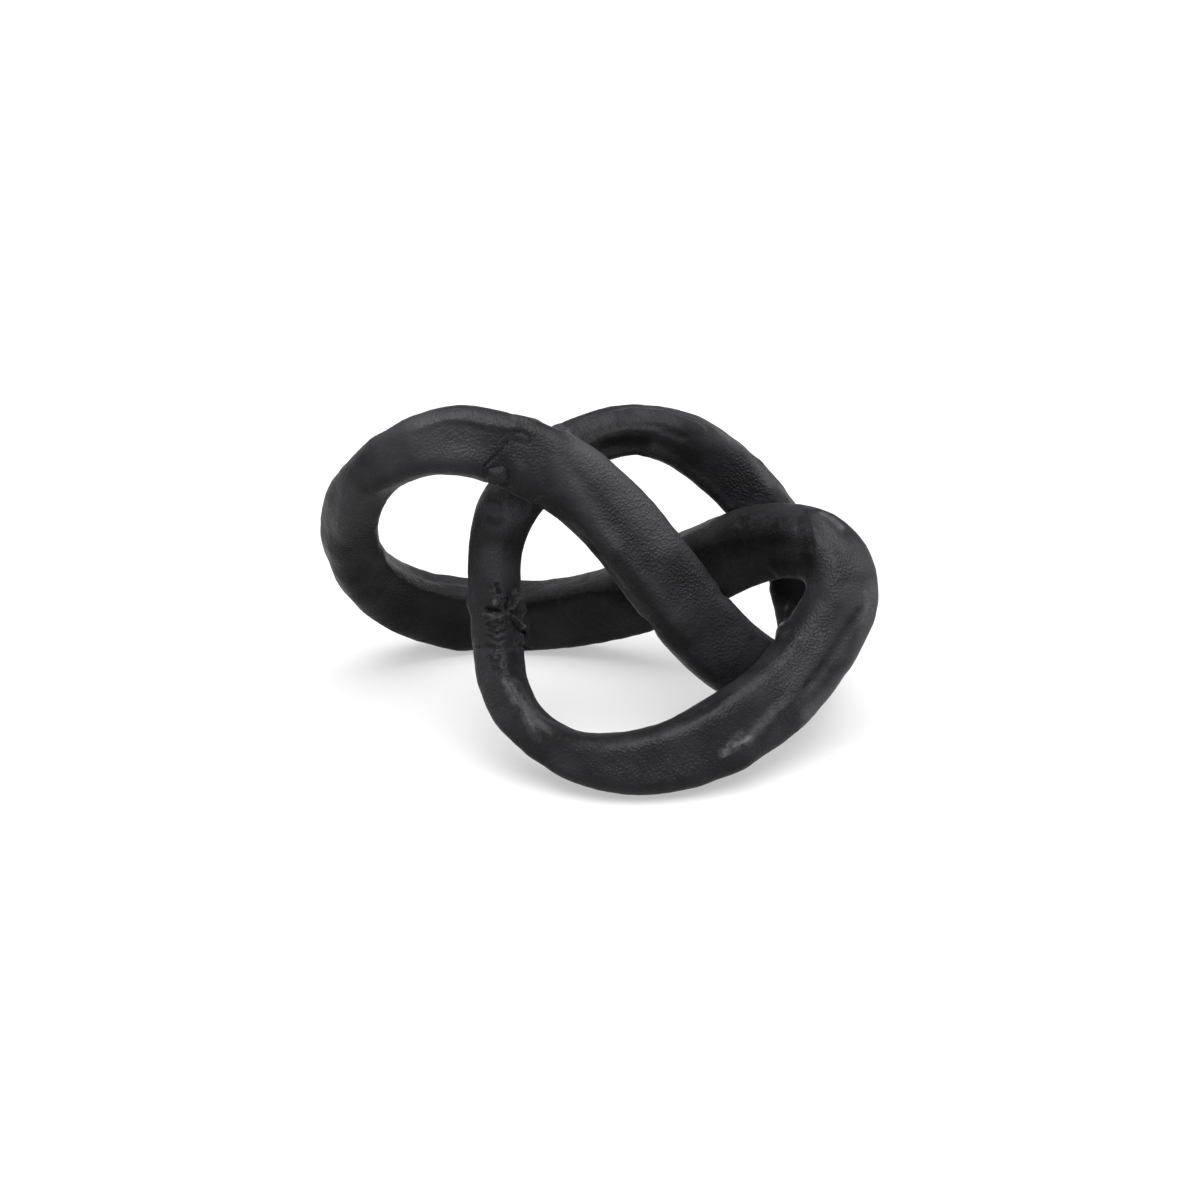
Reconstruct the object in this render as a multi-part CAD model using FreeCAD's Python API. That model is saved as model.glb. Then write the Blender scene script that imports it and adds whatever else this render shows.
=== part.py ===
import FreeCAD, Part
import math
import os

# Metal knot sculpture: one heavy bar of soft square section, bent into a closed knot.
# It is cast in five bars, which butt together on dowels and are welded all round, and
# the bars are welded again where they cross. X runs across the knot, Y runs from its
# front to its back, Z is up, and the origin is on the floor under the middle of the knot.

# Driving dimensions, in millimetres
OVERALL_WIDTH = 200.0
OVERALL_DEPTH = 138.0
OVERALL_HEIGHT = 123.0
BAR_WIDTH = 28.0

# Butt welds between the bars
GROOVE_DEPTH = 4.0
GROOVE_HALF_WIDTH = 3.0
WELD_CROWN = 0.5

# Dowels inside the butt joints
DOWEL_DIAMETER = 6.0
DOWEL_LENGTH = 20.0
DOWEL_CLEARANCE = 0.1
BORE_END_ROOM = 0.5

# Lumps of weld where two strands cross, as deep as a share of the way between centres
CROSSING_WELD_DIAMETER = 14.0
CROSSING_WELD_DEPTH_SHARE = 0.5
CROSSING_WELD_SIDES = 20

# Section of the bar: four faces, and round corners turned in a few short steps
CORNER_RADIUS_SHARE = 0.36
CORNER_STEPS = 3
SPANS_PER_PLACE = 3
FACING_STEPS_PER_PLACE = 20

# The way that the bar's broad face looks where the table of places starts
START_FACING_SHARES = (0.0, -0.91, 0.41)

# Places along the bar. Each row gives the centre as shares of the overall width, depth
# and height, and the two sizes of the section as shares of the bar's greatest width.
DIAGONAL_SHARES = (
    (-0.155, -0.071, 0.860, 0.890, 0.770),
    (-0.050, -0.078, 0.783, 0.940, 0.760),
    (0.062, -0.085, 0.602, 0.955, 0.730),
    (0.149, -0.093, 0.408, 0.980, 0.725),
    (0.226, -0.099, 0.265, 0.975, 0.755),
    (0.298, -0.066, 0.161, 0.920, 0.770),
)
LOW_TURN_SHARES = (
    (0.369, 0.031, 0.081, 0.720, 0.780),
    (0.404, 0.136, 0.142, 0.710, 0.770),
)
RISER_SHARES = (
    (0.395, 0.226, 0.271, 0.730, 0.780),
    (0.356, 0.278, 0.424, 0.690, 0.775),
)
BACK_LOOP_SHARES = (
    (0.284, 0.320, 0.576, 0.680, 0.755),
    (0.198, 0.313, 0.708, 0.670, 0.705),
    (0.094, 0.255, 0.794, 0.660, 0.540),
    (-0.001, 0.168, 0.805, 0.620, 0.520),
    (-0.086, 0.078, 0.755, 0.630, 0.640),
)
UPRIGHT_SHARES = (
    (-0.158, 0.007, 0.641, 0.650, 0.660),
    (-0.178, -0.042, 0.514, 0.560, 0.600),
    (-0.174, -0.107, 0.383, 0.545, 0.590),
    (-0.167, -0.194, 0.262, 0.525, 0.560),
    (-0.137, -0.303, 0.178, 0.490, 0.550),
)
FRONT_SHARES = (
    (-0.066, -0.375, 0.108, 0.490, 0.600),
    (0.028, -0.411, 0.081, 0.675, 0.690),
    (0.124, -0.404, 0.094, 0.820, 0.670),
    (0.227, -0.353, 0.142, 0.935, 0.660),
    (0.330, -0.233, 0.202, 0.955, 0.660),
    (0.406, -0.117, 0.319, 0.910, 0.700),
)
RIGHT_TURN_SHARES = (
    (0.438, -0.059, 0.432, 0.830, 0.740),
    (0.415, 0.009, 0.509, 0.790, 0.800),
    (0.351, 0.081, 0.520, 0.700, 0.890),
)
MIDDLE_SHARES = (
    (0.275, 0.160, 0.458, 0.700, 0.975),
    (0.181, 0.233, 0.348, 0.705, 1.030),
    (0.056, 0.320, 0.208, 0.695, 0.955),
    (-0.080, 0.393, 0.123, 0.660, 0.930),
    (-0.225, 0.422, 0.104, 0.650, 0.955),
    (-0.346, 0.357, 0.179, 0.700, 0.840),
)
LEFT_LOOP_SHARES = (
    (-0.425, 0.233, 0.338, 0.780, 0.735),
    (-0.446, 0.096, 0.551, 0.670, 0.610),
    (-0.398, -0.020, 0.747, 0.540, 0.720),
    (-0.315, -0.071, 0.860, 0.690, 0.760),
    (-0.244, -0.078, 0.892, 0.830, 0.775),
)
KNOT_SHARES = (
    DIAGONAL_SHARES
    + LOW_TURN_SHARES
    + RISER_SHARES
    + BACK_LOOP_SHARES
    + UPRIGHT_SHARES
    + FRONT_SHARES
    + RIGHT_TURN_SHARES
    + MIDDLE_SHARES
    + LEFT_LOOP_SHARES
)

# Butt joints and crossings, as shares of the way round the knot
JOINT_SHARES = {
    "low": 0.140,
    "rear": 0.214,
    "upright": 0.418,
    "middle": 0.724,
    "shoulder": 0.994,
}
CROSSING_SHARES = {
    "upper": (0.014, 0.362),
    "lower": (0.133, 0.590),
    "rear": (0.230, 0.679),
}
BARS = {
    "diagonal_bar": ("shoulder", "low"),
    "riser_bar": ("low", "rear"),
    "back_loop_bar": ("rear", "upright"),
    "front_loop_bar": ("upright", "middle"),
    "left_loop_bar": ("middle", "shoulder"),
}


def smooth_between(values, steps, step):
    """Value at a step, on a smooth closed run through the values at their own steps."""
    count = len(values)
    place = max(index for index in range(count) if steps[index] <= step)
    span = steps[place + 1] - steps[place]
    before, start, end, after = [values[(place + turn) % count] for turn in (-1, 0, 1, 2)]
    span_before = (steps[place] - steps[place - 1]) if place else steps[-1] - steps[-2]
    span_after = steps[(place + 1) % count + 1] - steps[(place + 1) % count]
    slope_start = (end - before) * (span / (span + span_before))
    slope_end = (after - start) * (span / (span + span_after))
    t = (step - steps[place]) / span
    ease = t * t * (3 - 2 * t)
    lean = slope_start * (t * (1 - t) ** 2) - slope_end * (t * t * (1 - t))
    return start * (1 - ease) + end * ease + lean


def chord_steps(points):
    """Running length of the straight lines from point to point, back to the first."""
    steps = [0.0]
    for point, following in zip(points, points[1:] + points[:1]):
        steps.append(steps[-1] + point.distanceToPoint(following))
    return steps


class Knot:
    """The closed centre line, with the bar's sizes and facing along it."""

    def __init__(self, rows):
        centres = [
            FreeCAD.Vector(row[0] * OVERALL_WIDTH, row[1] * OVERALL_DEPTH, row[2] * OVERALL_HEIGHT)
            for row in rows
        ]
        self.sizes = [FreeCAD.Vector(row[3] * BAR_WIDTH, row[4] * BAR_WIDTH, 0) for row in rows]
        self.steps = chord_steps(centres)
        self.length = self.steps[-1]
        self.line = Part.BSplineCurve()
        self.line.interpolate(Points=centres, PeriodicFlag=True, Parameters=self.steps)
        self.facings = self.carried_facings(len(rows) * FACING_STEPS_PER_PLACE)
        self.closing_turn = self.half_turn_gap()

    def step(self, share, offset=0.0):
        """Step of the centre line at a share of the way round, moved on by an offset."""
        return (share * self.length + offset) % self.length

    def centre(self, step):
        """Point of the centre line."""
        return self.line.value(step)

    def along(self, step):
        """Unit direction of the centre line."""
        direction = self.line.tangent(step)[0]
        direction.normalize()
        return direction

    def squared(self, facing, step):
        """Unit direction nearest to the facing that is square to the centre line."""
        along = self.along(step)
        outward = facing - along * facing.dot(along)
        outward.normalize()
        return outward

    def carried_facings(self, count):
        """Facings carried once round the knot without twist, from the start facing."""
        facings = [self.squared(FreeCAD.Vector(*START_FACING_SHARES), 0.0)]
        for turn in range(1, count + 1):
            facings.append(self.squared(facings[-1], self.step(turn / count)))
        return facings

    def half_turn_gap(self):
        """Angle from the last facing to the nearest one that closes the knot, in degrees."""
        first = self.facings[0]
        last = self.facings[-1]
        across = self.along(0.0).cross(first)
        angle = math.degrees(math.atan2(last.dot(across), last.dot(first)))
        return 180 * round(angle / 180) - angle

    def axes(self, step):
        """Unit directions out of the first face and across it, at a step."""
        share = step / self.length
        along = self.along(step)
        facing = self.facings[int(share * (len(self.facings) - 1))]
        turn = FreeCAD.Rotation(along, self.closing_turn * share)
        outward = turn.multVec(self.squared(facing, step))
        return outward, along.cross(outward)

    def half_sizes(self, step):
        """Half of the section's two sizes, across the first face and out of it."""
        size = smooth_between(self.sizes, self.steps, step)
        return size.x / 2, size.y / 2

    def steps_between(self, start, end, margin):
        """Steps of the places, and of those between them, along a bar and off its ends."""
        run = (end - start) % self.length
        marks = []
        for first, following in zip(self.steps, self.steps[1:]):
            for span in range(SPANS_PER_PLACE):
                mark = first + (following - first) * span / SPANS_PER_PLACE
                marks.append((mark - start) % self.length)
        inner = sorted(mark for mark in marks if margin < mark < run - margin)
        return [(start + mark) % self.length for mark in inner]


def section_points(half_width, half_thickness):
    """Points round the section in its own plane, its corners turned in short steps."""
    radius = 2 * min(half_width, half_thickness) * CORNER_RADIUS_SHARE
    points = []
    for corner, (side, face) in enumerate(((1, 1), (-1, 1), (-1, -1), (1, -1))):
        for turn in range(CORNER_STEPS + 1):
            angle = math.radians(90 * (corner + turn / CORNER_STEPS))
            x = side * (half_width - radius) + radius * math.cos(angle)
            y = face * (half_thickness - radius) + radius * math.sin(angle)
            points.append((x, y))
    return points


def section_corners(knot, step, shift=0.0, growth=0.0):
    """Corners round the bar, shifted straight along it and grown evenly."""
    half_width, half_thickness = knot.half_sizes(step)
    outward, across = knot.axes(step)
    origin = knot.centre(step) + knot.along(step) * shift
    flat = section_points(half_width + growth, half_thickness + growth)
    return [origin + across * x + outward * y for x, y in flat]


def outline(corners):
    """Closed wire through the corners."""
    return Part.makePolygon(corners + corners[:1])


def straight_block(*rings):
    """Solid with flat sides through parallel rings of corners."""
    faces = [Part.Face(outline(rings[0])), Part.Face(outline(rings[-1]))]
    for ring, following in zip(rings, rings[1:]):
        count = len(ring)
        for corner in range(count):
            beyond = (corner + 1) % count
            side = [ring[corner], ring[beyond], following[beyond], following[corner]]
            faces.append(Part.Face(outline(side)))
    return Part.Solid(Part.Shell(faces))


def bar_blank(knot, start, end):
    """Bar from one weld groove to the next, lofted from section to section."""
    first = knot.step(start)
    last = knot.step(end)
    steps = knot.steps_between(first, last, 2 * GROOVE_HALF_WIDTH)
    sections = [section_corners(knot, step) for step in steps]
    sections.insert(0, section_corners(knot, first, GROOVE_HALF_WIDTH))
    sections.append(section_corners(knot, last, -GROOVE_HALF_WIDTH))
    return Part.makeLoft([outline(corners) for corners in sections], True, True)


def bar_end(knot, share, side):
    """Chamfered end of a bar, from its full section to the root face of the joint."""
    step = knot.step(share)
    full = section_corners(knot, step, side * GROOVE_HALF_WIDTH)
    root = section_corners(knot, step, growth=-GROOVE_DEPTH)
    return straight_block(full, root)


def dowel(knot, share, diameter, length):
    """Round pin that lies along the bar, with its middle in the joint."""
    step = knot.step(share)
    along = knot.along(step)
    return Part.makeCylinder(diameter / 2, length, knot.centre(step) - along * (length / 2), along)


def dowel_bore(knot, share):
    """Room for the dowel, in the ends of the two bars that it holds in line."""
    return dowel(knot, share, DOWEL_DIAMETER + 2 * DOWEL_CLEARANCE, DOWEL_LENGTH + 2 * BORE_END_ROOM)


def below_floor():
    """Everything under the surface that the knot stands on."""
    corner = FreeCAD.Vector(-OVERALL_WIDTH, -OVERALL_DEPTH, -OVERALL_HEIGHT)
    return Part.makeBox(2 * OVERALL_WIDTH, 2 * OVERALL_DEPTH, OVERALL_HEIGHT, corner)


def cast_bar(knot, start_joint, end_joint):
    """One cast bar with chamfered ends and dowel bores, ground flat where it rests."""
    start = JOINT_SHARES[start_joint]
    end = JOINT_SHARES[end_joint]
    bar = bar_blank(knot, start, end)
    bar = bar.fuse([bar_end(knot, start, 1), bar_end(knot, end, -1)])
    bar = bar.cut([dowel_bore(knot, start), dowel_bore(knot, end), below_floor()])
    return bar.removeSplitter()


def butt_weld(knot, share):
    """Weld metal that fills the groove round a joint and stands a little proud."""
    step = knot.step(share)
    before = section_corners(knot, step, -GROOVE_HALF_WIDTH)
    middle = section_corners(knot, step, growth=WELD_CROWN)
    after = section_corners(knot, step, GROOVE_HALF_WIDTH)
    bead = straight_block(before, middle, after)
    return bead.cut([bar_end(knot, share, 1), bar_end(knot, share, -1)])


def crossing_weld(knot, front, behind, neighbours):
    """Round lump of weld metal in the narrow gap between two strands that cross."""
    front_centre = knot.centre(knot.step(front))
    apart = knot.centre(knot.step(behind)) - front_centre
    start = front_centre + apart * ((1 - CROSSING_WELD_DEPTH_SHARE) / 2)
    turn = FreeCAD.Rotation(FreeCAD.Vector(0, 0, 1), apart)
    rim = []
    for side in range(CROSSING_WELD_SIDES):
        angle = 2 * math.pi * side / CROSSING_WELD_SIDES
        spoke = FreeCAD.Vector(math.cos(angle), math.sin(angle), 0) * (CROSSING_WELD_DIAMETER / 2)
        rim.append(start + turn.multVec(spoke))
    lump = Part.Face(outline(rim)).extrude(apart * CROSSING_WELD_DEPTH_SHARE)
    return lump.cut(neighbours)


def pieces():
    """Every piece of the sculpture by name."""
    knot = Knot(KNOT_SHARES)
    made = {name: cast_bar(knot, *joints) for name, joints in BARS.items()}
    for name, share in JOINT_SHARES.items():
        made[name + "_weld"] = butt_weld(knot, share)
        made[name + "_dowel"] = dowel(knot, share, DOWEL_DIAMETER, DOWEL_LENGTH)
    neighbours = list(made.values())
    for name, (front, behind) in CROSSING_SHARES.items():
        made[name + "_crossing_weld"] = crossing_weld(knot, front, behind, neighbours)
    return made


def main():
    """Build the pieces and write each to its own file."""
    os.makedirs("parts", exist_ok=True)
    for name, shape in pieces().items():
        shape.exportStep("parts/" + name + ".step")
        print(name, len(shape.Solids), "solid", round(shape.Volume), "cubic mm")


main()
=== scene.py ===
"""Looks of the metal knot sculpture: a heavy cast bar in a closed knot, welded and blackened."""

from __future__ import annotations

import logging
import math
from collections.abc import Iterator
from contextlib import contextmanager
from dataclasses import dataclass
from enum import Enum

import bmesh
import bpy
import numpy as np
from mathutils import Matrix, Vector
from mathutils.bvhtree import BVHTree

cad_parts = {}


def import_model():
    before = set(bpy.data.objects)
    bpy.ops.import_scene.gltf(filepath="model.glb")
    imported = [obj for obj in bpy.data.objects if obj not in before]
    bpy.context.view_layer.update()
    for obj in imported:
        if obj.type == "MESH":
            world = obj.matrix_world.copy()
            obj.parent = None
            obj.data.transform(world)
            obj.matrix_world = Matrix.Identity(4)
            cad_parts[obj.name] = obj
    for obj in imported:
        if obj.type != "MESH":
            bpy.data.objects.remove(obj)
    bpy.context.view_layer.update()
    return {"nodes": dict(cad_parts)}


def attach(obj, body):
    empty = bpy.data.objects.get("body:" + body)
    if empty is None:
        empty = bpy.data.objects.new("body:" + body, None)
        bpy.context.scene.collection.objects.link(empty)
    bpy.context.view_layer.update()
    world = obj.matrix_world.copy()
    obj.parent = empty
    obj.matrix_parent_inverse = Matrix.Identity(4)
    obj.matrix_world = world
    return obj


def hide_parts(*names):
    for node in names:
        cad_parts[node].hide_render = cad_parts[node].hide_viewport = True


LOG = logging.getLogger("knot")
MM = 0.001
BODY = "root"

Piece = bpy.types.Object
Colour = tuple[float, float, float, float]
Inputs = dict[str | int, object]

# Overall sizes that the shares below follow, in metres
OVERALL_WIDTH = 200 * MM
OVERALL_DEPTH = 138 * MM
OVERALL_HEIGHT = 123 * MM
BAR_WIDTH = 28 * MM
WELD_HALF_WIDTH = 3 * MM
ROOT_DEPTH_SHARE = 0.3

# The way that the bar's broad face looks at the first place
START_FACING_SHARES = (0.0, -0.91, 0.41)

# Places along the bar, as in the solids: the centre as shares of the overall width, depth
# and height, and the section's two sizes as shares of the bar's greatest width
KNOT_SHARES = (
    (-0.155, -0.071, 0.860, 0.890, 0.770),
    (-0.050, -0.078, 0.783, 0.940, 0.760),
    (0.062, -0.085, 0.602, 0.955, 0.730),
    (0.149, -0.093, 0.408, 0.980, 0.725),
    (0.226, -0.099, 0.265, 0.975, 0.755),
    (0.298, -0.066, 0.161, 0.920, 0.770),
    (0.369, 0.031, 0.081, 0.720, 0.780),
    (0.404, 0.136, 0.142, 0.710, 0.770),
    (0.395, 0.226, 0.271, 0.730, 0.780),
    (0.356, 0.278, 0.424, 0.690, 0.775),
    (0.284, 0.320, 0.576, 0.680, 0.755),
    (0.198, 0.313, 0.708, 0.670, 0.705),
    (0.094, 0.255, 0.794, 0.660, 0.540),
    (-0.001, 0.168, 0.805, 0.620, 0.520),
    (-0.086, 0.078, 0.755, 0.630, 0.640),
    (-0.158, 0.007, 0.641, 0.650, 0.660),
    (-0.178, -0.042, 0.514, 0.560, 0.600),
    (-0.174, -0.107, 0.383, 0.545, 0.590),
    (-0.167, -0.194, 0.262, 0.525, 0.560),
    (-0.137, -0.303, 0.178, 0.490, 0.550),
    (-0.066, -0.375, 0.108, 0.490, 0.600),
    (0.028, -0.411, 0.081, 0.675, 0.690),
    (0.124, -0.404, 0.094, 0.820, 0.670),
    (0.227, -0.353, 0.142, 0.935, 0.660),
    (0.330, -0.233, 0.202, 0.955, 0.660),
    (0.406, -0.117, 0.319, 0.910, 0.700),
    (0.438, -0.059, 0.432, 0.830, 0.740),
    (0.415, 0.009, 0.509, 0.790, 0.800),
    (0.351, 0.081, 0.520, 0.700, 0.890),
    (0.275, 0.160, 0.458, 0.700, 0.975),
    (0.181, 0.233, 0.348, 0.705, 1.030),
    (0.056, 0.320, 0.208, 0.695, 0.955),
    (-0.080, 0.393, 0.123, 0.660, 0.930),
    (-0.225, 0.422, 0.104, 0.650, 0.955),
    (-0.346, 0.357, 0.179, 0.700, 0.840),
    (-0.425, 0.233, 0.338, 0.780, 0.735),
    (-0.446, 0.096, 0.551, 0.670, 0.610),
    (-0.398, -0.020, 0.747, 0.540, 0.720),
    (-0.315, -0.071, 0.860, 0.690, 0.760),
    (-0.244, -0.078, 0.892, 0.830, 0.775),
)


class Joint(Enum):
    """A butt joint between two bars, by its share of the way round the knot."""

    SHOULDER = 0.994
    LOW = 0.140
    REAR = 0.214
    UPRIGHT = 0.418
    MIDDLE = 0.724

    @property
    def weld(self) -> str:
        """Name of the node that holds the joint's weld metal."""
        return self.name.lower() + "_weld"

    @property
    def dowel(self) -> str:
        """Name of the node that holds the joint's dowel."""
        return self.name.lower() + "_dowel"


class Bar(Enum):
    """A cast bar, by the joints at its two ends."""

    DIAGONAL = (Joint.SHOULDER, Joint.LOW)
    RISER = (Joint.LOW, Joint.REAR)
    BACK_LOOP = (Joint.REAR, Joint.UPRIGHT)
    FRONT_LOOP = (Joint.UPRIGHT, Joint.MIDDLE)
    LEFT_LOOP = (Joint.MIDDLE, Joint.SHOULDER)

    @property
    def node(self) -> str:
        """Name of the node that holds the bar's solid."""
        return self.name.lower() + "_bar"


@dataclass(frozen=True)
class PhotoView:
    """The camera of the photograph, in metres and in the photograph's own pixels."""

    position: tuple[float, float, float] = (1.6 * MM, -618.0 * MM, 320.4 * MM)
    tilt_degrees: float = 24.0
    focal_pixels: float = 1878.2
    image_pixels: float = 1200.0
    sensor: float = 36.0
    clip: tuple[float, float] = (0.01, 50.0)

    @property
    def axes(self) -> tuple[Vector, Vector, Vector]:
        """Right, up and forward directions of the view."""
        tilt = math.radians(self.tilt_degrees)
        forward = Vector((0, math.cos(tilt), -math.sin(tilt)))
        return Vector((1, 0, 0)), Vector((0, math.sin(tilt), math.cos(tilt))), forward

    def ray(self, across: float, down: float) -> Vector:
        """Unit direction through a pixel of the photograph."""
        right, up, forward = self.axes
        middle = self.image_pixels / 2
        aim = forward + right * ((across - middle) / self.focal_pixels)
        return (aim - up * ((down - middle) / self.focal_pixels)).normalized()

    def place_camera(self) -> None:
        """Add the camera and make it the scene's own."""
        bpy.ops.object.camera_add(location=self.position)
        camera = bpy.context.object
        camera.name = "photo_camera"
        camera.rotation_euler = (math.radians(90 - self.tilt_degrees), 0, 0)
        camera.data.sensor_width = self.sensor
        camera.data.lens = self.focal_pixels * self.sensor / self.image_pixels
        camera.data.clip_start, camera.data.clip_end = self.clip
        bpy.context.scene.camera = camera


class KnotLine:
    """The closed centre line of the bar, with its sizes and facing along it."""

    facing_steps_per_place = 20
    fine_steps = 400
    upright_closeness = 1.1
    upright_reach = 13 * MM

    def __init__(self, rows: tuple[tuple[float, ...], ...]) -> None:
        """Fit the line through the places.

        Args:
            rows: the places along the bar, as shares.
        """
        table = np.array(rows, float)
        self.centres = table[:, :3] * (OVERALL_WIDTH, OVERALL_DEPTH, OVERALL_HEIGHT)
        self.sizes = table[:, 3:] * BAR_WIDTH
        following = np.roll(self.centres, -1, axis=0)
        self.spans = np.linalg.norm(following - self.centres, axis=1)
        self.steps = np.concatenate([[0.0], np.cumsum(self.spans)])
        self.length = float(self.steps[-1])
        self.slopes = self.smooth_slopes()
        self.size_slopes = self.local_slopes(self.sizes)
        self.facings = self.carried_facings()
        self.closing_turn = self.half_turn_gap()

    def smooth_slopes(self) -> np.ndarray:
        """Slopes at the places that make the closed line smooth to its second order."""
        count = len(self.spans)
        before = np.roll(self.spans, 1)
        rise = (np.roll(self.centres, -1, axis=0) - self.centres) / self.spans[:, None]
        system = np.zeros((count, count))
        for place in range(count):
            system[place, place - 1] = self.spans[place]
            system[place, place] = 2 * (before[place] + self.spans[place])
            system[place, (place + 1) % count] = before[place]
        wanted = 3 * (self.spans[:, None] * np.roll(rise, 1, axis=0) + before[:, None] * rise)
        return np.linalg.solve(system, wanted)

    def local_slopes(self, values: np.ndarray) -> np.ndarray:
        """Slopes at the places, each from its two neighbours."""
        reach = (self.spans + np.roll(self.spans, 1))[:, None]
        return (np.roll(values, -1, axis=0) - np.roll(values, 1, axis=0)) / reach

    def between(self, step: float) -> tuple[int, int, float, float]:
        """Places on either side of a step, the share of the way between them and their span."""
        place = min(int(np.searchsorted(self.steps, step, side="right")) - 1, len(self.spans) - 1)
        span = float(self.spans[place])
        return place, (place + 1) % len(self.spans), (step - self.steps[place]) / span, span

    def centre(self, step: float) -> Vector:
        """Point of the centre line."""
        return Vector(self.eased(step, self.centres, self.slopes))

    def eased(self, step: float, values: np.ndarray, slopes: np.ndarray) -> np.ndarray:
        """Value at a step on the smooth run through the values."""
        place, following, share, span = self.between(step)
        rest = 1 - share
        start = values[place] * (rest * rest * (1 + 2 * share))
        end = values[following] * (share * share * (3 - 2 * share))
        lean = slopes[place] * (share * rest * rest) - slopes[following] * (share * share * rest)
        return start + end + lean * span

    def along(self, step: float) -> Vector:
        """Unit direction of the centre line."""
        place, following, share, span = self.between(step)
        rise = (self.centres[following] - self.centres[place]) * (6 * share * (1 - share) / span)
        start = self.slopes[place] * ((1 - share) * (1 - 3 * share))
        end = self.slopes[following] * (share * (3 * share - 2))
        return Vector(rise + start + end).normalized()

    def squared(self, facing: Vector, step: float) -> Vector:
        """Unit direction nearest to the facing that is square to the centre line."""
        along = self.along(step)
        return (facing - along * facing.dot(along)).normalized()

    def carried_facings(self) -> list[Vector]:
        """Facings carried once round the knot without twist, from the start facing."""
        count = len(self.spans) * self.facing_steps_per_place
        facings = [self.squared(Vector(START_FACING_SHARES), 0.0)]
        for turn in range(1, count + 1):
            facings.append(self.squared(facings[-1], self.length * (turn / count) % self.length))
        return facings

    def half_turn_gap(self) -> float:
        """Angle from the last facing to the nearest one that closes the knot, in radians."""
        first, last = self.facings[0], self.facings[-1]
        across = self.along(0.0).cross(first)
        angle = math.atan2(last.dot(across), last.dot(first))
        return math.pi * round(angle / math.pi) - angle

    def section_place(self, step: float) -> Matrix:
        """Matrix that stands a section on the line: X across, Y out of the first face, Z along."""
        step = step % self.length
        share = step / self.length
        along = self.along(step)
        facing = self.facings[int(share * (len(self.facings) - 1))]
        outward = Matrix.Rotation(self.closing_turn * share, 3, along) @ self.squared(facing, step)
        across = along.cross(outward)
        place = Matrix((across, outward, -along)).transposed().to_4x4()
        place.translation = self.centre(step)
        return place

    def section_size(self, step: float) -> np.ndarray:
        """The section's two sizes at a step."""
        return self.eased(step % self.length, self.sizes, self.size_slopes)

    def steps_between(self, first: float, last: float, spacing: float) -> list[float]:
        """Even steps from one step up to another, closer together beside the upright joint."""
        fine = np.linspace(first, last, self.fine_steps)
        upright = Joint.UPRIGHT.value * self.length
        away = (fine - upright) / self.upright_reach
        closeness = 1 + self.upright_closeness * np.exp(-(away**2))
        amount = np.concatenate([[0.0], np.cumsum((closeness[1:] + closeness[:-1]) / 2)])
        count = round(amount[-1] / len(amount) * (last - first) / spacing)
        return [float(np.interp(turn / count, amount / amount[-1], fine)) for turn in range(count)]


class Finish(Enum):
    """The record's material slots that the pieces take their finish from."""

    CAST = "cast_bar"
    BUTT_WELD = "butt_weld"
    CROSSING_WELD = "crossing_weld"
    DOWEL = "dowel_steel"


def select_only(piece: Piece) -> None:
    """Deselect everything, then select one piece and make it the active one."""
    bpy.ops.object.select_all(action="DESELECT")
    piece.select_set(True)
    bpy.context.view_layer.objects.active = piece


def apply_modifiers(piece: Piece) -> None:
    """Apply all of a piece's modifiers in their order."""
    select_only(piece)
    for modifier in list(piece.modifiers):
        bpy.ops.object.modifier_apply(modifier=modifier.name)


@contextmanager
def edited(piece: Piece) -> Iterator[None]:
    """Hold one piece in edit mode for as long as the block lasts."""
    select_only(piece)
    bpy.ops.object.mode_set(mode="EDIT")
    yield
    bpy.ops.object.mode_set(mode="OBJECT")


@dataclass(frozen=True)
class Waviness:
    """An unevenness of the surface: how wide its waves are and how far they move it."""

    name: str
    pitch: float
    depth: float

    def add_to(self, piece: Piece) -> None:
        """Add the waves to a piece as a Displace modifier."""
        texture = bpy.data.textures.new(self.name, "CLOUDS")
        texture.noise_scale = self.pitch
        texture.noise_basis = "IMPROVED_PERLIN"
        wave = piece.modifiers.new(self.name, "DISPLACE")
        wave.texture = texture
        wave.texture_coords = "LOCAL"
        wave.direction = "NORMAL"
        wave.mid_level = 0.5
        wave.strength = self.depth


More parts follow.
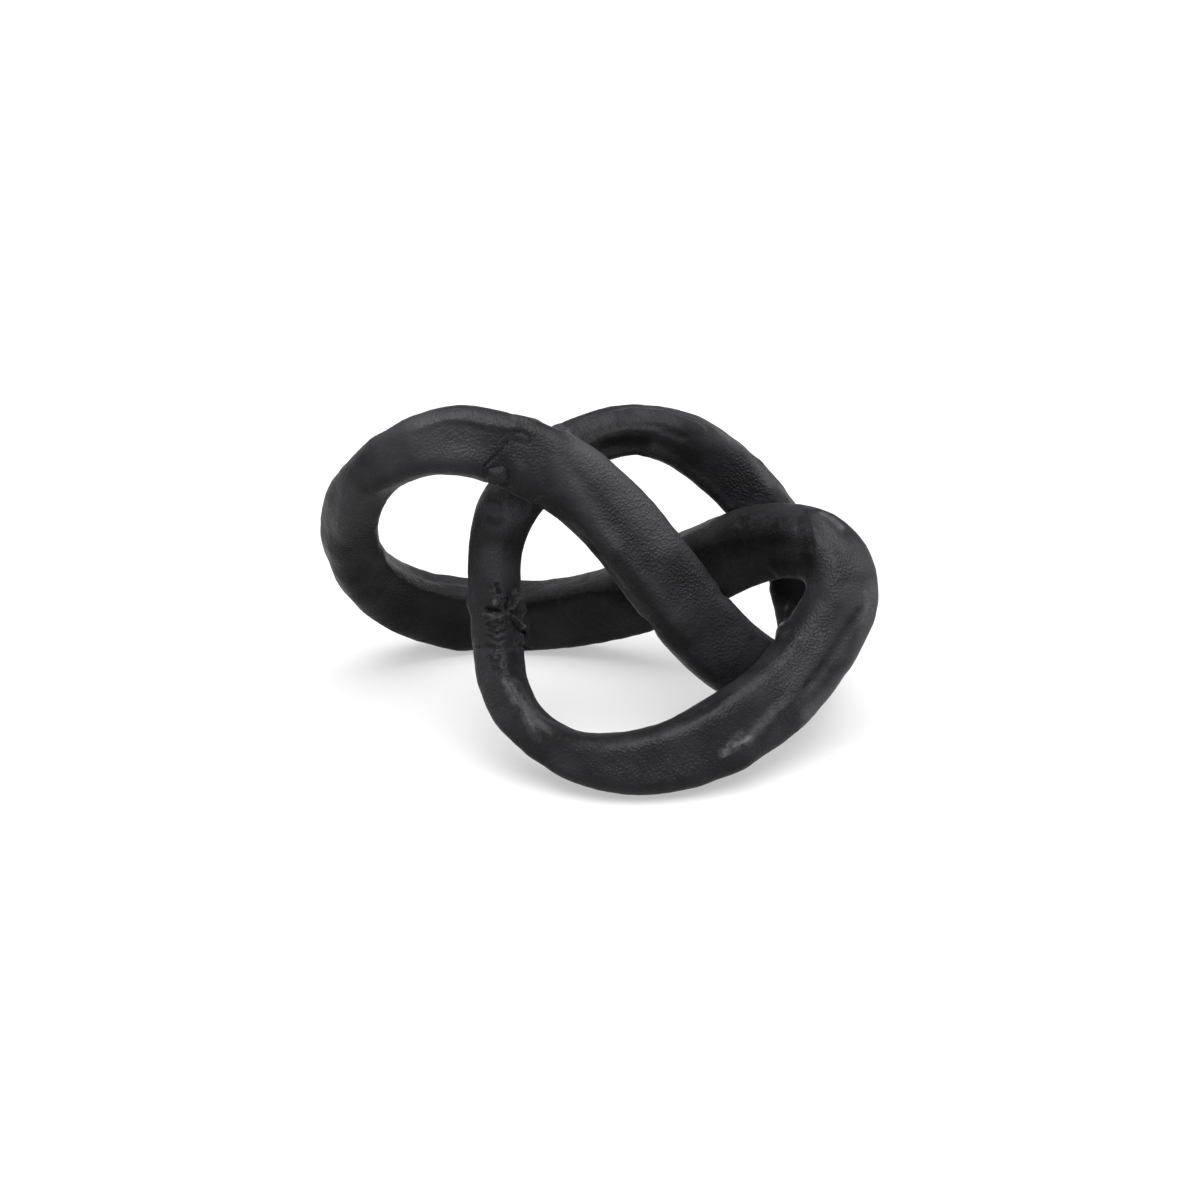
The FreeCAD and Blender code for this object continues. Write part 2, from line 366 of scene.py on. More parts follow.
@dataclass
class KnotForm:
    """The closed bar as one smooth mesh, before it is parted into its castings and welds."""

    line: KnotLine
    ring_spacing: float = 4.7 * MM
    corner_share: float = 0.29
    corner_segments: int = 3
    section_growth: float = 0.35 * MM
    levels: int = 3
    waves: tuple[Waviness, ...] = (
        Waviness("hand_bent_wave", 16 * MM, 1.3 * MM),
        Waviness("hammered_wave", 7.5 * MM, 0.45 * MM),
        Waviness("sand_wave", 3.1 * MM, 0.13 * MM),
    )

    def ring_steps(self) -> list[tuple[float, str]]:
        """Steps of the section rings, each with the name of the part that starts there."""
        rings: list[tuple[float, str]] = []
        for bar in Bar:
            first, last = (joint.value * self.line.length for joint in bar.value)
            if last < first:
                last += self.line.length
            start, end = first + WELD_HALF_WIDTH, last - WELD_HALF_WIDTH
            steps = self.line.steps_between(start, end, self.ring_spacing)
            rings += [(step, bar.node) for step in steps]
            rings += [(end + WELD_HALF_WIDTH * turn, bar.value[1].weld) for turn in range(2)]
        return rings

    def add_ring(self, piece: Piece, index: int, step: float) -> None:
        """Add one section ring: a square, resized, its corners rounded, stood on the line.

        Args:
            piece: the mesh in edit mode.
            index: the ring's number, kept on its vertices.
            step: where the ring stands on the line.
        """
        width, thickness = self.line.section_size(step) + self.section_growth
        corner = min(width, thickness) * self.corner_share
        bpy.ops.mesh.select_all(action="DESELECT")
        bpy.ops.mesh.primitive_plane_add(size=1)
        bpy.ops.transform.resize(value=(width, thickness, 1), center_override=(0, 0, 0))
        bpy.ops.mesh.bevel(offset=corner, affect="VERTICES", segments=self.corner_segments)
        bpy.ops.mesh.delete(type="ONLY_FACE")
        mesh = bmesh.from_edit_mesh(piece.data)
        ring = [vertex for vertex in mesh.verts if vertex.select]
        edges = {edge for vertex in ring for edge in vertex.link_edges}
        sides = sorted(edges, key=lambda edge: -edge.calc_length())[:4]
        bmesh.ops.subdivide_edges(mesh, edges=sides, cuts=1)
        numbers = mesh.verts.layers.int["ring"]
        ring = [vertex for vertex in mesh.verts if not vertex[numbers]]
        for vertex in ring:
            vertex[numbers] = index + 1
        bmesh.ops.transform(mesh, matrix=self.line.section_place(step), verts=ring)
        bmesh.update_edit_mesh(piece.data)

    def bridge(self, piece: Piece, first: int, second: int, slot_index: int) -> None:
        """Bridge two section rings, and give the new faces the part's material index."""
        mesh = bmesh.from_edit_mesh(piece.data)
        numbers = mesh.verts.layers.int["ring"]
        wanted = {first + 1, second + 1}
        for vertex in mesh.verts:
            vertex.select = False
        for edge in mesh.edges:
            ends = {vertex[numbers] for vertex in edge.verts}
            edge.select = len(ends) == 1 and ends <= wanted
        bmesh.update_edit_mesh(piece.data)
        bpy.ops.mesh.bridge_edge_loops()
        mesh = bmesh.from_edit_mesh(piece.data)
        for face in mesh.faces:
            if face.select:
                face.material_index = slot_index
        bmesh.update_edit_mesh(piece.data)

    def build(self) -> Piece:
        """Build the closed bar with one material slot for each part, named after it."""
        bpy.ops.object.select_all(action="DESELECT")
        bpy.ops.mesh.primitive_plane_add(size=1)
        piece = bpy.context.object
        piece.name = "knot_form"
        parts = [bar.node for bar in Bar] + [joint.weld for joint in Joint]
        for part in parts:
            piece.data.materials.append(bpy.data.materials.new(part))
        piece.data.attributes.new("ring", "INT", "POINT")
        rings = self.ring_steps()
        with edited(piece):
            bpy.context.tool_settings.mesh_select_mode = (False, True, False)
            bpy.ops.mesh.select_all(action="SELECT")
            bpy.ops.mesh.delete(type="VERT")
            for index, (step, _) in enumerate(rings):
                self.add_ring(piece, index, step)
            for index, (_, part) in enumerate(rings):
                self.bridge(piece, index, (index + 1) % len(rings), parts.index(part))
            bpy.ops.mesh.select_all(action="SELECT")
            bpy.ops.mesh.normals_make_consistent(inside=False)
        piece.data.attributes.remove(piece.data.attributes["ring"])
        smooth = piece.modifiers.new("round", "SUBSURF")
        smooth.levels = smooth.render_levels = self.levels
        for wave in self.waves:
            wave.add_to(piece)
        apply_modifiers(piece)
        LOG.info("closed bar: %d rings, %d faces", len(rings), len(piece.data.polygons))
        return piece


CREST_SHARPNESS = 1.25
LEDGE_SHARPNESS = 1.3
LEDGE_SOFTNESS = 0.25 * MM

# Ways and starts of the four waves that unevenness is made of, and how far and how often they bend
WAVE_WAYS = np.array(
    ((1.0, 0.62, -0.41), (-0.53, 1.0, 0.71), (0.37, -0.83, 1.0), (0.71, 0.29, 0.57))
)
WAVE_STARTS = (0.6, 2.2, 3.9, 5.1)
WAVE_BEND = 1.7
WAVE_BEND_RATE = 0.37


def soft_edge(share: np.ndarray) -> np.ndarray:
    """Fall from 1 at a line to 0 at the reach, level at both ends."""
    return (1 - share**2) ** 2


def uneven(points: np.ndarray, pitch: float) -> np.ndarray:
    """Smooth unevenness from -1 to 1 at points, with waves about a pitch apart."""
    rough = points @ WAVE_WAYS.T * (2 * math.pi / pitch)
    bent = rough + WAVE_BEND * np.sin(rough[:, (1, 2, 3, 0)] * WAVE_BEND_RATE + WAVE_STARTS)
    return np.sin(bent).sum(axis=1) / len(WAVE_WAYS)


class Profile(Enum):
    """How a mark's height falls off on either side of its line."""

    FOLD = "straight sides up to a crest"
    ROUND = "soft sides and a soft crest"
    STEP = "a ledge, higher on the line's left"

    def __call__(self, reach: float, height: float, *pixels: float, **paints: float) -> Mark:
        """Make a mark with this profile.

        Args:
            reach: half the mark's width, in millimetres.
            height: how far it moves the surface outward, in millimetres.
            pixels: its line in the photograph, across and down in turn.
            paints: how strongly it is painted, by the paint's name.
        Returns:
            The mark.
        """
        painted = {Paint(name): strength for name, strength in paints.items()}
        return Mark(self, reach * MM, height * MM, pixels, painted)

    def height_left(self, share: np.ndarray, side: np.ndarray) -> np.ndarray:
        """Share of the height that is left away from the line.

        Args:
            share: how far from the line, as a share of the mark's reach.
            side: how far to the line's left, in metres.
        Returns:
            The share of the height, 1 on the line and 0 at the reach.
        """
        if self is Profile.FOLD:
            return (1 - share) ** CREST_SHARPNESS
        if self is Profile.ROUND:
            return soft_edge(share)
        return (1 - share) ** LEDGE_SHARPNESS / (1 + np.exp(-side / LEDGE_SOFTNESS))


FOLD, ROUND, STEP = Profile


class Paint(Enum):
    """Paint on the castings: wear with painted glints, stains with painted shade, grain, painted
    light.
    """

    WORN = "worn"
    SOOT = "soot"
    GRAIN = "grain"
    PALE = "pale"


@dataclass(frozen=True)
class Mark:
    """A mark on the castings, its line read off the photograph, its sizes in metres."""

    profile: Profile
    reach: float
    height: float
    pixels: tuple[float, ...]
    paints: dict[Paint, float]


# Each mark's half width and height in millimetres, then its line in the photograph's pixels,
# across and down in turn, and how strongly it is painted
# The pale paint is painted light, the dark paint is painted shade along with dark stains, and the
# bright paint is wear along with painted glints
MARKS = (
    # Ridges between the flats of the diagonal, and along its top edge, with painted light on its
    # lit face and painted shade on its lower bevel
    FOLD(9.5, 1.7, 556, 462, 580, 498, 604, 534, 628, 562, 653, 590, 683, 625),
    ROUND(3.4, 0.6, 517, 417, 540, 421, 557, 427, 572, 436, worn=0.21),
    ROUND(2.6, -0.35, 574, 437, 585, 443, 596, 450),
    ROUND(9, 0, 585, 450, 615, 478, 642, 510, 664, 540, pale=0.8),
    ROUND(5, -1.3, 546, 504, 570, 523, 592, 549),
    FOLD(3.6, 0.7, 598, 528, 616, 551, 634, 572, 650, 596, 665, 617, 686, 638),
    ROUND(7, -0.5, 592, 548, 620, 586, 648, 620, 672, 645, soot=0.6),
    ROUND(4, 0, 641, 572, 658, 595, 676, 616, pale=0.12),
    ROUND(6, 0, 560, 470, 588, 505, 612, 540, pale=0.4),
    # Ledge and flat of the shoulder, with painted shade in the crease under the ledge
    STEP(4.5, 0.9, 420, 431, 446, 422, 466, 422, 480, 427, 497, 429, 513, 431),
    ROUND(7, -0.55, 430, 446, 460, 442, 482, 447),
    ROUND(1.2, -0.35, 470, 424, 484, 428, soot=0.5),
    # Ring left where the shoulder weld was dressed, and the seam below it
    ROUND(1, -0.42, 503, 444, 510, 440, 520, 441, 529, 443, 530, 437, 524, 432, 513, 431, soot=0.7),
    ROUND(0.65, -0.6, 509, 443, 501, 450, 494, 457, 488, 463, 484, 467, soot=1),
    ROUND(3.5, 0.45, 505, 452, 512, 458, 518, 470),
    # Weld run down from the shoulder on to the upright, with painted light where the shoulder
    # shades the upright
    ROUND(8, 1.5, 492, 501, 503, 504, 516, 508, pale=0.6),
    ROUND(4, -0.6, 490, 485, 504, 487),
    ROUND(5, -0.9, 516, 487, 530, 496, 546, 508),
    # Stains and dents high on the upright, and a painted highlight beside them
    ROUND(1.6, -0.25, 492, 500, 503, 503, 505, 510, 494, 511, soot=0.3),
    ROUND(2.4, -0.3, 489, 519, 497, 523, 502, 520, soot=0.6),
    ROUND(2, 0.45, 513, 496, 509, 503, 507, 511, 508, 520, worn=0.16, pale=0.9),
    FOLD(4, 0.59, 486, 530, 488, 560),
    # Unground weld of the upright, with painted glints on its tips and painted shade in its pits
    ROUND(1.5, 1.3, 495, 602, 496, 604, worn=0.5),
    ROUND(1.2, -0.8, 497, 585, 500, 592, soot=0.8),
    ROUND(1.1, 0.7, 503, 590, 505, 596),
    ROUND(1.2, -1.3, 487, 609, 492, 611, 499, 612, soot=1),
    ROUND(1.3, -1.3, 509, 600, 507, 607, 511, 613, soot=1),
    FOLD(2.2, 1.35, 514, 594, 518, 601, 522, 611, worn=0.15),
    FOLD(1.4, 1.2, 519, 597, 514, 606, 509, 612, worn=0.15),
    FOLD(1.1, 1.1, 484, 614, 492, 616, 500, 620, worn=0.35),
    FOLD(1, 0.9, 486, 621, 494, 620, 503, 616, worn=0.25),
    FOLD(1.2, 1.2, 507, 614, 514, 618, 524, 628, worn=0.3),
    ROUND(1.6, -1.4, 514, 621, 519, 628, 525, 634, soot=1),
    ROUND(2, 0.9, 525, 612, 529, 618, 530, 627),
    ROUND(3.2, 1.5, 530, 630, 531, 636, 528, 643),
    ROUND(1.5, -0.9, 521, 645, 528, 648, soot=0.5),
    ROUND(0.8, -0.55, 486, 625, 492, 628, 497, 627, soot=0.5),
    ROUND(0.8, -0.5, 488, 630, 496, 634, 506, 631, soot=0.4),
    ROUND(0.9, -0.6, 487, 636, 492, 637, soot=0.6),
    ROUND(0.8, -0.45, 493, 640, 499, 642, 504, 639, soot=0.4),
    ROUND(1.2, -0.6, 486, 645, 493, 648, soot=0.6),
    ROUND(1.1, 0.5, 508, 622, 511, 629, 510, 636),
    ROUND(1.8, 0.5, 507, 634, 512, 641),
    STEP(2.2, -0.7, 473, 651, 486, 652, 500, 650, 522, 647, worn=0.08),
    ROUND(1.6, 0.5, 476, 640, 477, 650, worn=0.12),
    ROUND(1.1, -0.55, 489, 656, 492, 661, 498, 661, 499, 656, soot=0.5),
    ROUND(1.3, -0.45, 493, 668, 500, 672, soot=0.4),
    # Bevelled inner edge and scuffed corner of the front turn; the corner's brightness is partly
    # wear and partly a painted highlight
    FOLD(4.2, 0.75, 517, 684, 528, 706, 545, 722, 571, 731, worn=0.15),
    ROUND(1.8, 0.1, 504, 680, 508, 690, 514, 702, worn=0.22),
    ROUND(1, 0.1, 510, 682, 518, 696, worn=0.22),
    ROUND(2.4, 0.15, 525, 715, 530, 727, 537, 738, worn=0.26),
    ROUND(0.9, 0.1, 528, 720, 534, 732, worn=0.55),
    # Groove of the right front strand with painted shade in it, painted light on its paler outer
    # band, and a scratch with a painted highlight along the band above it
    ROUND(7, 0, 873, 590, 868, 630, 852, 668, 832, 697, 812, 716, pale=1),
    ROUND(3.4, -1.35, 859, 614, 852, 624, 838, 645, 822, 668, 808, 686, soot=0.35),
    ROUND(2.2, -0.5, 812, 682, 800, 694, 788, 704, soot=0.2),
    ROUND(10, -0.85, 868, 636, 850, 674, 826, 704, 796, 733, 770, 752),
    FOLD(5.5, 1, 840, 600, 828, 634, 812, 662, 790, 690, worn=0.05),
    ROUND(2.6, 0.15, 789, 697, 776, 708, 766, 719, 757, 730, 747, 741, worn=0.2, pale=0.5),
    ROUND(1.35, 0.2, 750, 738, 741, 743, 732, 749, 721, 755, worn=1),
    ROUND(1.5, 0.1, 744, 733, 735, 738, 729, 744, worn=0.45),
    ROUND(1.3, -0.6, 866, 590, 868, 602, 864, 612, worn=0.3),
    FOLD(4, 0.45, 818, 518, 832, 530, 845, 547, worn=0.1),
    # Facets along the bottom of the front strand, with painted shade along its inner edge
    ROUND(5.5, 0, 560, 736, 600, 740, 650, 731, 700, 708, soot=0.85),
    ROUND(5, -1.3, 684, 717, 702, 708, 716, 698),
    FOLD(7, 0.85, 560, 770, 600, 782, 640, 786, 690, 776),
    FOLD(6, 0.25, 590, 742, 640, 744, 690, 734, 740, 712),
    # Bevels of the back loop, with painted shade below the top bevel and on its front face, and
    # painted highlights on its right part and lower edge
    FOLD(3.6, 1.27, 569, 433, 584, 424, 600, 418, 633, 411, 662, 413, 700, 428),
    ROUND(2.6, -0.75, 586, 437, 604, 428, 625, 423, 652, 424, 684, 437, soot=0.4),
    ROUND(5, 1.2, 650, 452, 672, 463, 694, 478, 712, 493, 727, 509, worn=0.12),
    ROUND(4.5, -1.5, 604, 449, 620, 446, 642, 447),
    FOLD(4, 0.68, 738, 446, 760, 462, 782, 487),
    ROUND(5.5, 0, 590, 440, 640, 436, 672, 445, 694, 460, soot=0.55),
    ROUND(4, 0, 722, 434, 748, 454, 770, 482, pale=0.5),
    ROUND(2.4, 0, 694, 482, 712, 496, 728, 511, worn=0.08, pale=0.9),
    # Left loop and middle strand, with painted shade on the middle strand's lower faces
    FOLD(5, 1.1, 381, 555, 395, 576, 420, 590, 450, 598, 470, 603),
    ROUND(5, -1.2, 388, 556, 408, 570, 434, 578, 466, 581),
    ROUND(11, 1.6, 334, 552, 348, 590, 376, 616, 416, 634, 456, 644),
    ROUND(6, -1.2, 560, 644, 604, 638, 648, 625),
    FOLD(5, 1.36, 522, 604, 560, 598, 590, 591, 612, 590, soot=0.8),
    ROUND(1.5, -0.35, 404, 571, 420, 580, soot=0.3),
    FOLD(5, 0.4, 334, 470, 327, 520, 338, 570),
    FOLD(7, 0.68, 372, 440, 345, 480, 338, 530),
    # Top of the right corner, with painted shade on its shaded faces and a painted highlight on its
    # rim
    ROUND(2.4, -0.8, 727, 513, 737, 518, 742, 523, soot=0.7),
    STEP(4.5, 1.1, 806, 512, 812, 530, 816, 552, 815, 572, 812, 588),
    ROUND(4.5, -0.2, 801, 518, 807, 545, 808, 572, soot=0.8),
    ROUND(4.5, 0, 822, 516, 827, 545, 825, 580, pale=0.2),
    STEP(3.5, 0.8, 772, 554, 792, 554, 812, 556),
    ROUND(4, -0.35, 775, 565, 795, 566, 810, 567, soot=0.6),
    FOLD(5, 0.85, 700, 548, 730, 540, 770, 534),
    ROUND(4, -0.9, 722, 593, 744, 583, 768, 574),
    ROUND(2.2, 0.2, 822, 514, 832, 519, 841, 527, worn=0.28, pale=0.6),
    # Edge of the riser in the right window with a painted highlight along it, and bright specks
    ROUND(4.5, 1.5, 774, 592, 778, 608, 783, 634),
    ROUND(2.6, 0, 773, 588, 777, 606, 781, 622, worn=0.08, pale=1),
    ROUND(1.3, 0.3, 787, 606, 786, 609, worn=1),
    ROUND(1.3, 0.25, 786, 620, 784, 627, worn=0.9),
)

# Spots of paint: across, down and radius in pixels of the photograph, and how strong each is
SPOTS = {
    Paint.GRAIN: (
        (650, 525, 62, 1), (690, 575, 45, 0.8), (610, 470, 34, 0.6), (812, 640, 36, 0.9),
        (785, 680, 34, 0.8), (842, 570, 30, 0.5), (750, 465, 42, 0.9), (450, 440, 42, 0.3),
        (345, 540, 40, 0.2), (410, 578, 36, 0.8), (506, 612, 26, 1), (497, 662, 20, 0.5),
    ),
    # Painted light: pale spots on lit faces, and where the strands shade one another
    Paint.PALE: (
        (455, 440, 44, 0.45), (395, 440, 40, 0.3), (343, 520, 46, 0.38), (862, 560, 30, 0.35),
        (815, 640, 26, 0.3), (509, 501, 40, 1), (425, 432, 36, 0.65), (497, 560, 24, 0.4),
        (505, 570, 20, 0.4), (345, 500, 34, 0.45), (532, 720, 16, 0.15), (800, 678, 34, 0.3),
        (842, 642, 30, 0.4), (860, 598, 26, 0.5), (780, 612, 20, 0.45),
    ),
    # Painted shade: dark spots on faces turned down and on faces lying under other strands, with
    # some dark patches
    Paint.SOOT: (
        (506, 612, 26, 0.25), (590, 622, 50, 0.3), (640, 435, 40, 0.2), (800, 540, 36, 0.25),
        (352, 578, 26, 0.45), (590, 608, 40, 0.45), (740, 520, 54, 1), (772, 524, 34, 1),
        (700, 552, 34, 0.9), (702, 622, 30, 0.55), (640, 432, 28, 0.15), (684, 424, 22, 0.45),
        (560, 510, 22, 0.45), (622, 594, 30, 0.85), (395, 620, 40, 0.4), (450, 635, 34, 0.4),
        (745, 545, 44, 0.45),
    ),
}


class Surface:
    """The closed bar's surface, that the photograph's marks are read on to and pressed into."""

    trace_spacing = 2.0
    pixel_size = 0.36 * MM
    spot_softness = 1.2
    ragged_edge = 0.12
    ragged_height = 0.25
    ragged_pitch_share = 1.6
    search_share = 1.5
    least_run_squared = 1e-12
    least_pitch = 2.4 * MM
    wide_mark = 3.0 * MM
    wide_calm = 0.3

    def __init__(self, piece: Piece, view: PhotoView) -> None:
        """Read the surface.

        Args:
            piece: the closed bar.
            view: the camera of the photograph.
        """
        self.piece = piece
        self.view = view
        count = len(piece.data.vertices)
        self.points = np.empty(count * 3)
        self.outward = np.empty(count * 3)
        piece.data.vertices.foreach_get("co", self.points)
        piece.data.vertices.foreach_get("normal", self.outward)
        self.points = self.points.reshape(-1, 3)
        self.outward = self.outward.reshape(-1, 3)
        self.moved = np.zeros(count)
        self.paint = {paint: np.zeros(count) for paint in Paint}
        corners = [vertex.co for vertex in piece.data.vertices]
        faces = [face.vertices[:] for face in piece.data.polygons]
        self.tree = BVHTree.FromPolygons(corners, faces)

    def trace(self, pixels: tuple[float, ...]) -> np.ndarray:
        """Points of the surface along a line of pixels, as the camera sees it."""
        corners = list(zip(pixels[::2], pixels[1::2]))
        spots = corners[:1]
        for (left, top), (right, bottom) in zip(corners, corners[1:]):
            count = max(1, round(math.hypot(right - left, bottom - top) / self.trace_spacing))
            spots += [
                (left + (right - left) * turn / count, top + (bottom - top) * turn / count)
                for turn in range(1, count + 1)
            ]
        start = Vector(self.view.position)
        hits = [self.tree.ray_cast(start, self.view.ray(*spot))[0] for spot in spots]
        found = [hit for hit in hits if hit is not None]
        if not found:
            LOG.info("no surface under the pixel %s", corners[0])
        return np.array(found)

    def near(self, line: np.ndarray, reach: float) -> tuple[np.ndarray, np.ndarray, np.ndarray]:
        """Vertices near a line of points, how far each is from it, and to which side."""
        low, high = line.min(axis=0) - reach, line.max(axis=0) + reach
        chosen = np.nonzero(((self.points > low) & (self.points < high)).all(axis=1))[0]
        spots = self.points[chosen]
        starts, ends = (line[:-1], line[1:]) if len(line) > 1 else (line, line)
        runs = ends - starts
        lengths = np.maximum((runs * runs).sum(axis=1), self.least_run_squared)
        best = np.full(len(chosen), np.inf)
        side = np.zeros(len(chosen))
        for start, run, length in zip(starts, runs, lengths):
            share = np.clip((spots - start) @ run / length, 0, 1)
            away = spots - start - share[:, None] * run
            far = np.linalg.norm(away, axis=1)
            closer = far < best
            best[closer] = far[closer]
            left = np.cross(self.outward[chosen[closer]], run / math.sqrt(length))
            side[closer] = (away[closer] * left).sum(axis=1)
        wanted = best < reach
        return chosen[wanted], best[wanted], side[wanted]

    def coat(self, paint: Paint, chosen: np.ndarray, strength: np.ndarray) -> None:
        """Paint the chosen vertices where the coat is stronger than what they have."""
        self.paint[paint][chosen] = np.maximum(self.paint[paint][chosen], strength)

    def press(self, mark: Mark) -> None:
        """Press one mark into the surface and lay its paint."""
        line = self.trace(mark.pixels)
        if not len(line):
            return
        chosen, far, side = self.near(line, mark.reach * self.search_share)
        calm = self.wide_calm if mark.reach > self.wide_mark else 1.0
        pitch = max(self.least_pitch, mark.reach * self.ragged_pitch_share)
        ragged = uneven(self.points[chosen], pitch) * calm
        share = np.clip(far / (mark.reach * (1 + self.ragged_edge * ragged)), 0, 1)
        fall = mark.profile.height_left(share, side) * (1 + self.ragged_height * ragged)
        self.moved[chosen] += fall * mark.height
        for paint, strength in mark.paints.items():
            self.coat(paint, chosen, soft_edge(share) * strength)

    def lay(self, paint: Paint, spot: tuple[float, float, float, float]) -> None:
        """Lay one spot of paint: its middle across and down, its radius and its strength."""
        across, down, radius, strength = spot
        line = self.trace((across, down))
        if not len(line):
            return
        reach = radius * self.pixel_size
        chosen, far, _ = self.near(line, reach)
        self.coat(paint, chosen, (1 - (far / reach) ** 2) ** self.spot_softness * strength)

    def write(self) -> None:
        """Move the vertices and store the paint on the piece."""
        points = self.points + self.outward * self.moved[:, None]
        points[:, 2] = np.maximum(points[:, 2], 0)
        self.piece.data.vertices.foreach_set("co", points.ravel())
        for paint, values in self.paint.items():
            attribute = self.piece.data.attributes.new(paint.value, "FLOAT", "POINT")
            attribute.data.foreach_set("value", values)
        self.piece.data.update()


@dataclass
class Parting:
    """Parts the finished bar into castings and welds, and closes each one."""

    line: KnotLine
    weld_root_share: float = 0.9

    def part(self, form: Piece) -> dict[str, Piece]:
        """Separate the bar by its parts' slots and close the ends of each.

        Args:
            form: the closed bar, with one material slot for each part.
        Returns:
            The pieces by the name of the node that each stands for.
        """
        with edited(form):
            bpy.ops.mesh.separate(type="MATERIAL")
        made: dict[str, Piece] = {}
        for piece in list(bpy.context.selected_objects):
            node = piece.data.materials[piece.data.polygons[0].material_index].name
            made[node] = piece
        for bar in Bar:
            for joint, side in zip(bar.value, (-1, 1)):
                self.close(made[bar.node], joint, side, WELD_HALF_WIDTH)
            self.seal(made[bar.node], ring=False)
        for joint in Joint:
            for side in (-1, 1):
                self.close(made[joint.weld], joint, side, WELD_HALF_WIDTH * self.weld_root_share)
            self.seal(made[joint.weld], ring=True)
        return made

    def close(self, piece: Piece, joint: Joint, side: int, depth: float) -> None:
        """Draw the open edge beside a joint in to the joint's root.

        Args:
            piece: a casting or a weld.
            joint: the joint that the edge belongs to.
            side: 1 for the edge before the joint and -1 for the one after it.
            depth: how far the edge goes along the line.
        """
        step = joint.value * self.line.length
        centre, along = self.line.centre(step), self.line.along(step)
        start = centre - along * (side * WELD_HALF_WIDTH)
        root = centre - along * (side * (WELD_HALF_WIDTH - depth))
        mesh = bmesh.new()
        mesh.from_mesh(piece.data)
        rim = [
            edge
            for edge in mesh.edges
            if edge.is_boundary
            and all((end.co - start).length < BAR_WIDTH for end in edge.verts)
            and all((centre - end.co).dot(along) * side > WELD_HALF_WIDTH / 2 for end in edge.verts)
        ]
        made = bmesh.ops.extrude_edge_only(mesh, edges=rim)["geom"]
        for vertex in (item for item in made if isinstance(item, bmesh.types.BMVert)):
            out = vertex.co - start
            vertex.co = root + (out - along * out.dot(along)) * (1 - ROOT_DEPTH_SHARE)
        mesh.to_mesh(piece.data)
        mesh.free()

    def seal(self, piece: Piece, ring: bool) -> None:
        """Close the inner wall of a weld ring, or the root faces of a casting."""
        with edited(piece):
            bpy.ops.mesh.select_all(action="DESELECT" if ring else "SELECT")
            if ring:
                bpy.ops.mesh.select_non_manifold()
                bpy.ops.mesh.bridge_edge_loops()
            else:
                bpy.ops.mesh.fill_holes(sides=0)
            bpy.ops.mesh.select_all(action="SELECT")
            bpy.ops.mesh.normals_make_consistent(inside=False)


@dataclass(frozen=True)
class CrossingWeld:
    """A lump of weld in the gap where two strands cross, as the solids have it."""

    name: str
    first_share: float
    second_share: float
    diameter: float = 14 * MM
    segments: int = 64
    rings: int = 40
    flatness: float = 0.36
    bead_pitch: float = 3.2 * MM
    bead_depth: float = 1.2 * MM

    @property
    def node(self) -> str:
        """Name of the node that holds the lump's solid."""
        return self.name + "_crossing_weld"

    def build(self, line: KnotLine) -> Piece:
        """Build the lump: a ball flattened across the gap, with uneven beads round its rim."""
        first = line.centre(self.first_share * line.length)
        second = line.centre(self.second_share * line.length)
        middle, across = (first + second) / 2, (second - first).normalized()
        bpy.ops.object.select_all(action="DESELECT")
        bpy.ops.mesh.primitive_uv_sphere_add(
            segments=self.segments, ring_count=self.rings, radius=self.diameter / 2
        )
        piece = bpy.context.object
        piece.name = self.node + "_bead"
        with edited(piece):
            bpy.ops.transform.resize(value=(1, 1, self.flatness), center_override=(0, 0, 0))
            mesh = bmesh.from_edit_mesh(piece.data)
            turn = Vector((0, 0, 1)).rotation_difference(across).to_matrix().to_4x4()
            bmesh.ops.transform(mesh, matrix=Matrix.Translation(middle) @ turn, verts=mesh.verts)
            bmesh.update_edit_mesh(piece.data)
        Waviness(self.name + "_bead_wave", self.bead_pitch, self.bead_depth).add_to(piece)
        apply_modifiers(piece)
        return piece


